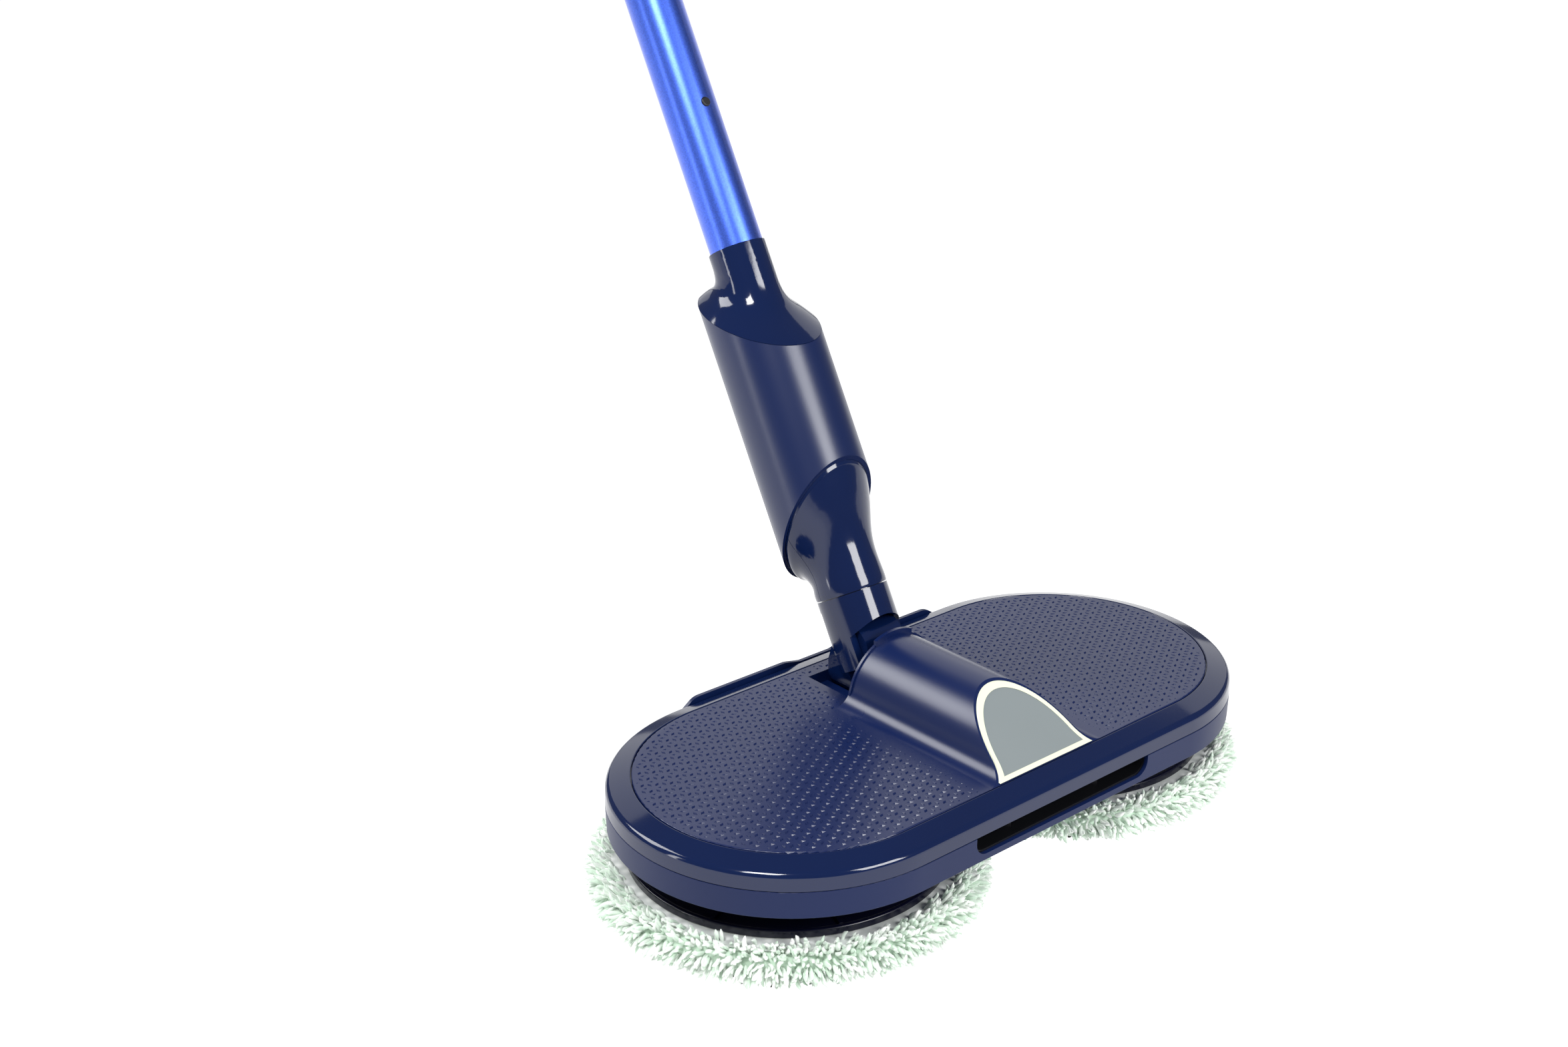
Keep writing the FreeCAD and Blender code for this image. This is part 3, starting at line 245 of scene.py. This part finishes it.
# ---- pieces -------------------------------------------------------------------------------
def place_piece(name, mesh, body, nodes, finish):
    """Puts a finished mesh in the scene as a piece that stands for CAD nodes on its body."""
    mesh.materials.clear()
    mesh.materials.append(finish)
    piece = bpy.data.objects.new(name, mesh)
    bpy.context.scene.collection.objects.link(piece)
    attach(piece, body)
    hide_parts(*nodes)
    return piece


def merged_copy(*nodes):
    """CAD nodes as one bmesh with their loose triangles joined."""
    build = bmesh.new()
    for node in nodes:
        build.from_mesh(frame["nodes"][node].data)
    bmesh.ops.remove_doubles(build, verts=build.verts, dist=0.002 * MM)
    return build


def to_mesh(build, name, crease=SOFT_CREASE):
    """Mesh from a bmesh, smooth but for edges sharper than crease degrees."""
    mesh = bpy.data.meshes.new(name)
    for layer in list(build.loops.layers.float_vector):
        build.loops.layers.float_vector.remove(layer)
    build.to_mesh(mesh)
    build.free()
    if "custom_normal" in mesh.attributes:
        mesh.attributes.remove(mesh.attributes["custom_normal"])
    mesh.shade_smooth()
    mesh.set_sharp_from_angle(angle=math.radians(crease))
    return mesh


def weighted(mesh, name):
    """Lets large faces rule the shading normals, so that flat faces stay flat beside curves."""
    holder = bpy.data.objects.new(name + "_holder", mesh)
    bpy.context.scene.collection.objects.link(holder)
    weigh = holder.modifiers.new("weigh", "WEIGHTED_NORMAL")
    weigh.keep_sharp = True
    evaluated = holder.evaluated_get(bpy.context.evaluated_depsgraph_get())
    made = bpy.data.meshes.new_from_object(evaluated)
    made.name = name
    bpy.data.objects.remove(holder)
    return made


def refined(name, body, slot, *nodes, finish=None, crease=SOFT_CREASE):
    """Smoothly shaded piece from merged copies of CAD nodes."""
    mesh = to_mesh(merged_copy(*nodes), name, crease)
    return place_piece(name, weighted(mesh, name), body, nodes, finish or FINISH[slot])


# ---- camera, light and floor --------------------------------------------------------------
def make_camera():
    data = bpy.data.cameras.new("camera")
    data.lens = 44.925
    data.sensor_width = 36.0
    camera = bpy.data.objects.new("camera", data)
    yaw, pitch, roll = math.radians(-40.39), math.radians(22.04), math.radians(-0.41)
    back = Vector((math.sin(yaw) * math.cos(pitch), -math.cos(yaw) * math.cos(pitch),
                   math.sin(pitch)))
    right = Vector((math.cos(yaw), math.sin(yaw), 0))
    up = back.cross(right)
    level = (math.cos(roll) * right + math.sin(roll) * up,
             -math.sin(roll) * right + math.cos(roll) * up, back)
    turn = Matrix((level[0], level[1], level[2])).transposed()
    camera.matrix_world = Matrix.Translation((-0.69916, -0.69312, 0.57765)) @ turn.to_4x4()
    bpy.context.scene.collection.objects.link(camera)
    bpy.context.scene.camera = camera


def soft_box(name, place, target, wide, tall, watts):
    data = bpy.data.lights.new(name, "AREA")
    data.shape = "RECTANGLE"
    data.size, data.size_y = wide, tall
    data.energy = watts
    lamp = bpy.data.objects.new(name, data)
    lamp.location = place
    lamp.rotation_mode = "QUATERNION"
    aim = Vector(target) - Vector(place)
    lamp.rotation_quaternion = aim.to_track_quat("-Z", "Y")
    bpy.context.scene.collection.objects.link(lamp)


def make_studio():
    world = bpy.data.worlds.new("studio")
    world.use_nodes = True
    sky = world.node_tree.nodes["Background"]
    sky.inputs[0].default_value = (1, 1, 1, 1)
    # dim for the object, so that gloss keeps its contrast, and white where it is looked at
    looked_at = add(world.node_tree, "ShaderNodeLightPath").outputs["Is Camera Ray"]
    strength = add(world.node_tree, "ShaderNodeMapRange", {"Value": looked_at, 3: 0.15, 4: 1.0})
    world.node_tree.links.new(strength.outputs[0], sky.inputs[1])
    bpy.context.scene.world = world
    bpy.context.scene.view_settings.view_transform = "Standard"
    # the key shapes the top, the big dim panel is what the deck mirrors, the rest draw highlights
    soft_box("key_left", (-1.1, -0.5, 1.7), (0, 0, 0.1), 0.55, 0.55, 27)
    soft_box("back_panel", (1.35, 1.4, 1.05), (0, 0, 0.05), 3.0, 1.6, 13)
    soft_box("back_left", (-0.83, 1.12, 1.22), (0, 0, 0.1), 0.75, 0.75, 15)
    soft_box("front", (0.25, -1.5, 1.08), (0, 0, 0.25), 0.8, 0.75, 25)
    soft_box("left_strip", (-1.5, 0.5, 0.4), (0, 0, 0.2), 0.14, 0.8, 2.5)
    build = bmesh.new()
    bmesh.ops.create_grid(build, x_segments=2, y_segments=2, size=14)
    mesh = bpy.data.meshes.new("floor")
    build.to_mesh(mesh)
    build.free()
    floor = bpy.data.objects.new("floor", mesh)
    bpy.context.scene.collection.objects.link(floor)
    made, tree, place = new_material("white_paper_floor")
    shader = add(tree, "ShaderNodeBsdfPrincipled", {
        "Base Color": (0.3, 0.3, 0.3, 1), "Roughness": 1.0, "Specular IOR Level": 0.0,
        "Emission Color": (1, 1, 1, 1), "Emission Strength": 0.97})
    output(tree, shader)
    mesh.materials.append(made)


make_camera()
make_studio()


# ---- deck with its pits -------------------------------------------------------------------
LATTICE = 7.7             # spacing of the six-petal stars
PIT_LENGTH = 1.9          # half length of a lozenge pit
PIT_WIDTH = 0.95
PIT_DEPTH = 0.78
RIM_FADE = (1.2, 4.5)     # pits grow from nothing to full size over this way from the groove
BRIDGE_FADE = (3.0, 13.0)
SMALLEST_PIT = 0.3        # share of full size below which a pit is left out
POCKET_BORDER = 1         # plain border round the hinge pocket
POCKET_KEEP_OUT = 3       # no pit starts nearer to the pocket than this


def fade(distance, span):
    share = min(1.0, max(0.0, (distance - span[0]) / (span[1] - span[0])))
    return share * share * (3 - 2 * share)


def pit_size(x, y, edge_r):
    """Share of full size of a pit at x, y: smaller near the groove and beside the bridge."""
    off = math.hypot(max(abs(x) - END_X, 0), y)
    from_rim = edge_r - off
    if y < BRIDGE_REAR:
        from_bridge = abs(x) - BRIDGE_FOOT
    else:
        from_bridge = max(math.hypot(max(abs(x) - BRIDGE_FOOT, 0), y - BRIDGE_REAR),
                          abs(x) - POCKET_HALF - POCKET_BORDER, y - POCKET_REAR - POCKET_BORDER)
        if abs(x) < POCKET_HALF + POCKET_KEEP_OUT and y < POCKET_REAR + POCKET_KEEP_OUT:
            from_bridge = 0
    return min(fade(from_rim, RIM_FADE), fade(from_bridge, BRIDGE_FADE))


def pits(edge_r):
    """Corners, floor point and size of each lozenge pit, at the lattice's edge midpoints."""
    found = []
    across_step = LATTICE * math.sqrt(3) / 2
    reach = int((END_X + edge_r) / across_step) + 1
    for column in range(-reach, reach + 1):
        for row in range(-reach, reach + 1):
            x0 = column * across_step
            y0 = row * LATTICE + (column % 2) * LATTICE / 2
            for turn in (90, 30, -30):
                heading = Vector((math.cos(math.radians(turn)), math.sin(math.radians(turn))))
                centre = Vector((x0, y0)) + heading * LATTICE / 2
                if math.hypot(max(abs(centre.x) - END_X, 0), centre.y) > edge_r - RIM_FADE[0]:
                    continue
                size = pit_size(centre.x, centre.y, edge_r)
                if size < SMALLEST_PIT:
                    continue
                side = Vector((-heading.y, heading.x))
                corners = [centre + heading * PIT_LENGTH * size, centre + side * PIT_WIDTH * size,
                           centre - heading * PIT_LENGTH * size, centre - side * PIT_WIDTH * size]
                found.append((centre, corners, size))
    return found


def make_deck():
    """The deck cover, with its flat top cut anew round a lattice of lozenge pits."""
    build = merged_copy("deck_cover")
    top = DECK_Z * MM
    flat = [f for f in build.faces if all(abs(v.co.z - top) < SAME_HEIGHT for v in f.verts)
            and f.calc_area() > 0]
    edge_r = max(math.hypot(max(abs(v.co.x) / MM - END_X, 0), v.co.y / MM)
                 for f in flat for v in f.verts)
    flat_faces = set(flat)
    border = [e for f in flat for e in f.edges
              if sum(1 for g in e.link_faces if g in flat_faces) == 1]
    border_verts = list({v for e in border for v in e.verts})
    bmesh.ops.delete(build, geom=flat, context="FACES_ONLY")
    index = {v: i for i, v in enumerate(border_verts)}
    points = [Vector((v.co.x, v.co.y)) / MM for v in border_verts]
    edges = [(index[e.verts[0]], index[e.verts[1]]) for e in border]
    lows = {}
    for centre, corners, size in pits(edge_r):
        first = len(points)
        points.extend(corners)
        points.append(centre)
        lows[first + 4] = PIT_DEPTH * size
        edges += [(first + k, first + (k + 1) % 4) for k in range(4)]
    verts, _, faces, origins, _, _ = delaunay_2d_cdt(points, edges, [], 0, 1e-4)
    made = []
    for place, origin in zip(verts, origins):
        known = [i for i in origin if i < len(border_verts)]
        if known:
            made.append(border_verts[known[0]])
            continue
        depth = max([lows.get(i, 0.0) for i in origin], default=0.0)
        made.append(build.verts.new((place.x * MM, place.y * MM, top - depth * MM)))
    for face in faces:
        middle = sum((verts[i] for i in face), Vector((0, 0))) / len(face)
        under_bridge = abs(middle.x) < BRIDGE_FOOT and middle.y < BRIDGE_REAR
        in_pocket = abs(middle.x) < POCKET_HALF and BRIDGE_REAR <= middle.y < POCKET_REAR
        if not under_bridge and not in_pocket:
            build.faces.new([made[i] for i in face])
    build.normal_update()
    mesh = to_mesh(build, "deck_moulding", DECK_CREASE)
    place_piece("deck_moulding", weighted(mesh, "deck_moulding"), "head", ["deck_cover"],
                deck_navy)


make_deck()


# ---- mouldings, tube and metal ------------------------------------------------------------
refined("rim_moulding", "head", "navy_gloss", "rim_shell")
refined("skirt_moulding", "head", "navy_satin", "lower_shell", finish=skirt_navy)
refined("rear_strip", "head", "navy_satin", "rear_guard")
refined("badge_border_ring", "head", "badge_border", "badge_frame")
refined("badge_panel", "head", "badge_grey", "badge_plate")
refined("slot_lining", "head", "black_plastic", "slot_tray")
refined("slot_panes", "head", "tinted_window", "slot_windows")
refined("hinge_block", "swivel", "navy_gloss", "swivel_block")
refined("yoke", "pole", "navy_gloss", "yoke_collar")
refined("neck_front_moulding", "pole", "navy_gloss", "neck_front", crease=LOFT_CREASE)
refined("neck_rear_moulding", "pole", "navy_gloss", "neck_rear", crease=LOFT_CREASE)
refined("battery_cover", "pole", "navy_satin", "battery_sleeve", crease=LOFT_CREASE)
refined("tube_socket", "pole", "navy_gloss", "upper_socket", crease=LOFT_CREASE)
refined("lower_tube", "pole", "blue_anodised", "pole_tube")
refined("snap_stud", "snap", "black_plastic", "snap_button")
refined("clamp_ring", "pole", "black_plastic", "clamp_body")
refined("clamp_handle", "lever", "black_plastic", "clamp_lever")
refined("sliding_tube", "handle", "blue_anodised", "upper_tube")
refined("grip_front_moulding", "handle", "navy_satin", "grip_front")
refined("grip_rear_moulding", "handle", "navy_satin", "grip_rear")
refined("hang_loop", "handle", "black_plastic", "hanging_loop")
refined("power_key", "power", "navy_gloss", "power_button")
for side in ("right", "left"):
    refined(side + "_disc_moulding", side + "_disc", "black_plastic", side + "_spin_disc",
            finish=disc_black)
    refined(side + "_backing_cloth", side + "_disc", "white_backing", side + "_pad_backing")


# ---- chenille pads ------------------------------------------------------------------------
CORE = [(0, 3.4), (80, 3.4), (93, 3.8), (99, 5.6), (101.6, 8.8), (101.2, 12.4), (99.5, 14.8),
        (97.4, 15.9), (93, 16.1), (90.5, 16.1), (0, 16.1)]
TURNS = 96                # sides of the round core
TOP_FROM = 14             # above this height the pile stands up round the backing
SIDE_FROM = 5             # between the two the pile lies outwards, below it the pile is the sole
PILE_INNER_R = 92         # the top is bare inside this radius, under the backing
LEVEL_AT = 12             # height at which the side's pile lies level: it droops below it
DROOP = 0.06              # droop per millimetre below that
SOLE_SHARE = 0.35         # the sole is hidden, so its pile is thinner


def pad_core(name, x, y):
    """Foam and cloth core of a pad, with the way its pile is combed and how dense it stands."""
    build = bmesh.new()
    rings = []
    for radius, z in CORE:
        if radius == 0:
            rings.append([build.verts.new((x * MM, y * MM, z * MM))])
            continue
        rings.append([build.verts.new((
            (x + radius * math.cos(2 * math.pi * k / TURNS)) * MM,
            (y + radius * math.sin(2 * math.pi * k / TURNS)) * MM, z * MM)) for k in range(TURNS)])
    for low, high in zip(rings, rings[1:]):
        for k in range(TURNS):
            after = (k + 1) % TURNS
            if len(low) == 1:
                build.faces.new((low[0], high[after], high[k]))
            elif len(high) == 1:
                build.faces.new((low[k], low[after], high[0]))
            else:
                build.faces.new((low[k], low[after], high[after], high[k]))
    bmesh.ops.recalc_face_normals(build, faces=build.faces)
    mesh = bpy.data.meshes.new(name)
    build.to_mesh(mesh)
    build.free()
    mesh.shade_smooth()
    ways, shares = [], []
    for vertex in mesh.vertices:
        out = Vector((vertex.co.x / MM - x, vertex.co.y / MM - y, 0))
        radius = out.length
        out = out.normalized() if radius > 1 else Vector((1, 0, 0))
        z = vertex.co.z / MM
        if z > TOP_FROM:
            way, share = out * 0.65 + Vector((0, 0, 0.75)), 1.0 if radius > PILE_INNER_R else 0.0
        elif z > SIDE_FROM:
            way, share = out + Vector((0, 0, DROOP * (z - LEVEL_AT))), 1.0
        else:
            way, share = out * 0.75 - Vector((0, 0, 0.5)), SOLE_SHARE
        ways.extend(way)
        shares.append(share)
    mesh.attributes.new("comb", "FLOAT_VECTOR", "POINT").data.foreach_set("vector", ways)
    mesh.attributes.new("stand", "FLOAT", "POINT").data.foreach_set("value", shares)
    return mesh


def pile_tree():
    """Geometry Nodes: bent tufts on the core, combed along its comb attribute."""
    tree = bpy.data.node_groups.new("chenille_tufts", "GeometryNodeTree")
    face = tree.interface
    face.new_socket("Geometry", in_out="INPUT", socket_type="NodeSocketGeometry")
    for label, value in (("Spacing", 1.5 * MM), ("Tuft Length", 9.0 * MM), ("Tuft Radius", 1.05 * MM),
                         ("Untidiness", 0.36), ("Floor", 0.15 * MM)):
        socket = face.new_socket(label, in_out="INPUT", socket_type="NodeSocketFloat")
        socket.default_value = value
    seed = face.new_socket("Seed", in_out="INPUT", socket_type="NodeSocketInt")
    seed.default_value = 7
    face.new_socket("Material", in_out="INPUT", socket_type="NodeSocketMaterial")
    face.new_socket("Geometry", in_out="OUTPUT", socket_type="NodeSocketGeometry")
    given = add(tree, "NodeGroupInput").outputs

    # one tuft: a bent rounded rod along Z
    bend = add(tree, "ShaderNodeMath", {0: given["Tuft Length"], 1: 0.22}, operation="MULTIPLY")
    half = add(tree, "ShaderNodeMath", {0: given["Tuft Length"], 1: 0.55}, operation="MULTIPLY")
    middle = add(tree, "ShaderNodeCombineXYZ", {0: bend.outputs[0], 2: half.outputs[0]})
    end = add(tree, "ShaderNodeCombineXYZ", {2: given["Tuft Length"]})
    line = add(tree, "GeometryNodeCurveQuadraticBezier", {
        "Resolution": 5, "Start": (0, 0, 0), "Middle": middle.outputs[0], "End": end.outputs[0]})
    along = add(tree, "GeometryNodeSplineParameter")
    wide = add(tree, "ShaderNodeMath", {0: along.outputs[0], 1: 2.0, 2: -1.0},
               operation="MULTIPLY_ADD")
    power = add(tree, "ShaderNodeMath", {0: wide.outputs[0], 1: 4.0}, operation="POWER")
    round_off = add(tree, "ShaderNodeMath", {0: 1.04, 1: power.outputs[0]}, operation="SUBTRACT")
    taper = add(tree, "ShaderNodeMath", {0: round_off.outputs[0], 1: 0.5}, operation="POWER")
    profile = add(tree, "GeometryNodeCurvePrimitiveCircle", {
        "Resolution": 5, "Radius": given["Tuft Radius"]})
    rod = add(tree, "GeometryNodeCurveToMesh", {
        "Curve": line.outputs[0], "Profile Curve": profile.outputs[0], "Scale": taper.outputs[0],
        "Fill Caps": True})

    stand = add(tree, "GeometryNodeInputNamedAttribute", {"Name": "stand"}, data_type="FLOAT")
    spots = add(tree, "GeometryNodeDistributePointsOnFaces", {
        "Mesh": given["Geometry"], "Distance Min": given["Spacing"], "Density Max": 600000.0,
        "Density Factor": stand.outputs[0], "Seed": given["Seed"]}, distribute_method="POISSON")
    comb = add(tree, "GeometryNodeInputNamedAttribute", {"Name": "comb"},
               data_type="FLOAT_VECTOR")
    stray = add(tree, "FunctionNodeRandomValue", {
        0: (-1, -1, -1), 1: (1, 1, 1), "Seed": given["Seed"]}, data_type="FLOAT_VECTOR")
    strayed = add(tree, "ShaderNodeVectorMath", {0: stray.outputs[0], "Scale": given["Untidiness"]},
                  operation="SCALE")
    way = add(tree, "ShaderNodeVectorMath", {0: comb.outputs[0], 1: strayed.outputs[0]},
              operation="ADD")
    roll = add(tree, "FunctionNodeRandomValue", {2: 0.0, 3: 2 * math.pi, "Seed": given["Seed"]},
               data_type="FLOAT")
    rolled = add(tree, "FunctionNodeAxisAngleToRotation", {
        "Axis": (0, 0, 1), "Angle": roll.outputs[1]})
    aimed = add(tree, "FunctionNodeAlignRotationToVector", {"Vector": way.outputs[0]}, axis="Z")
    turned = add(tree, "FunctionNodeRotateRotation", {
        "Rotation": aimed.outputs[0], "Rotate By": rolled.outputs[0]}, rotation_space="LOCAL")
    size = add(tree, "FunctionNodeRandomValue", {2: 0.72, 3: 1.15, "Seed": 31}, data_type="FLOAT")
    tufts = add(tree, "GeometryNodeInstanceOnPoints", {
        "Points": spots.outputs[0], "Instance": rod.outputs[0], "Rotation": turned.outputs[0],
        "Scale": size.outputs[1]})
    tint = add(tree, "FunctionNodeRandomValue", {2: 0.0, 3: 1.0, "Seed": 53}, data_type="FLOAT")
    tinted = add(tree, "GeometryNodeStoreNamedAttribute", {
        "Geometry": tufts.outputs[0], "Name": "tuft", "Value": tint.outputs[1]},
        data_type="FLOAT", domain="INSTANCE")
    real = add(tree, "GeometryNodeRealizeInstances", {"Geometry": tinted.outputs[0]})

    # crimp the tufts a little, and press what would pass the floor flat on to it
    where = add(tree, "GeometryNodeInputPosition")
    crimp = add(tree, "ShaderNodeTexNoise", {
        "Vector": where.outputs[0], "Scale": 1000 / 7.0, "Detail": 1.0})
    centred = add(tree, "ShaderNodeVectorMath", {0: crimp.outputs["Color"], 1: (0.5, 0.5, 0.5)},
                  operation="SUBTRACT")
    small = add(tree, "ShaderNodeVectorMath", {0: centred.outputs[0], "Scale": 2.4 * MM},
                operation="SCALE")
    wavy = add(tree, "GeometryNodeSetPosition", {
        "Geometry": real.outputs[0], "Offset": small.outputs[0]})
    spot = add(tree, "ShaderNodeSeparateXYZ", {0: add(tree, "GeometryNodeInputPosition").outputs[0]})
    above = add(tree, "ShaderNodeMath", {0: spot.outputs[2], 1: given["Floor"]},
                operation="MAXIMUM")
    pressed_at = add(tree, "ShaderNodeCombineXYZ", {
        0: spot.outputs[0], 1: spot.outputs[1], 2: above.outputs[0]})
    pressed = add(tree, "GeometryNodeSetPosition", {
        "Geometry": wavy.outputs[0], "Position": pressed_at.outputs[0]})
    smooth = add(tree, "GeometryNodeSetShadeSmooth", {"Geometry": pressed.outputs[0]})
    joined = add(tree, "GeometryNodeJoinGeometry")
    tree.links.new(smooth.outputs[0], joined.inputs[0])
    tree.links.new(given["Geometry"], joined.inputs[0])
    finished = add(tree, "GeometryNodeSetMaterial", {
        "Geometry": joined.outputs[0], "Material": given["Material"]})
    add(tree, "NodeGroupOutput", {"Geometry": finished.outputs[0]})
    return tree


def make_pads():
    tree = pile_tree()
    keys = {item.name: item.identifier for item in tree.interface.items_tree
            if item.in_out == "INPUT"}
    for side, seed in (("right", 11), ("left", 23)):
        low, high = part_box(side + "_mop_pad")
        x, y = (low.x + high.x) / 2 / MM, (low.y + high.y) / 2 / MM
        core = bpy.data.objects.new(side + "_core", pad_core(side + "_core", x, y))
        bpy.context.scene.collection.objects.link(core)
        grow = core.modifiers.new("tufts", "NODES")
        grow.node_group = tree
        grow[keys["Seed"]] = seed
        grow[keys["Material"]] = pile
        evaluated = core.evaluated_get(bpy.context.evaluated_depsgraph_get())
        mesh = bpy.data.meshes.new_from_object(evaluated)
        bpy.data.objects.remove(core)
        name = side + "_chenille_pad"
        mesh.name = name
        pad = place_piece(name, mesh, side + "_disc", [side + "_mop_pad"], pile)


make_pads()


# ---- pieces kept from the frame -----------------------------------------------------------
INNER = {
    "output_bearings": steel, "shaft_seals": rubber, "roll_housing": black_abs,
    "roll_shaft": steel, "tilt_pin": steel, "shell_screws": steel, "gear_axles": steel,
    "drive_plate": black_abs, "drive_motor": steel, "motor_shaft": steel, "motor_pinion": steel,
    "control_board": solder_mask, "battery_cells": cell_film, "cell_holder": black_abs,
    "charge_jack": black_abs, "stub_tube": steel, "snap_spring": steel, "clamp_pin": steel,
    "power_switch": black_abs,
}
for node, shown in frame["nodes"].items():
    if shown.hide_render:
        continue
    finish = INNER.get(node)
    if finish is None:
        if node.endswith("gear"):
            finish = nylon
        elif node.endswith("hook_ring"):
            finish = hooks
        else:
            finish = steel
    shown.data.materials.clear()
    shown.data.materials.append(finish)
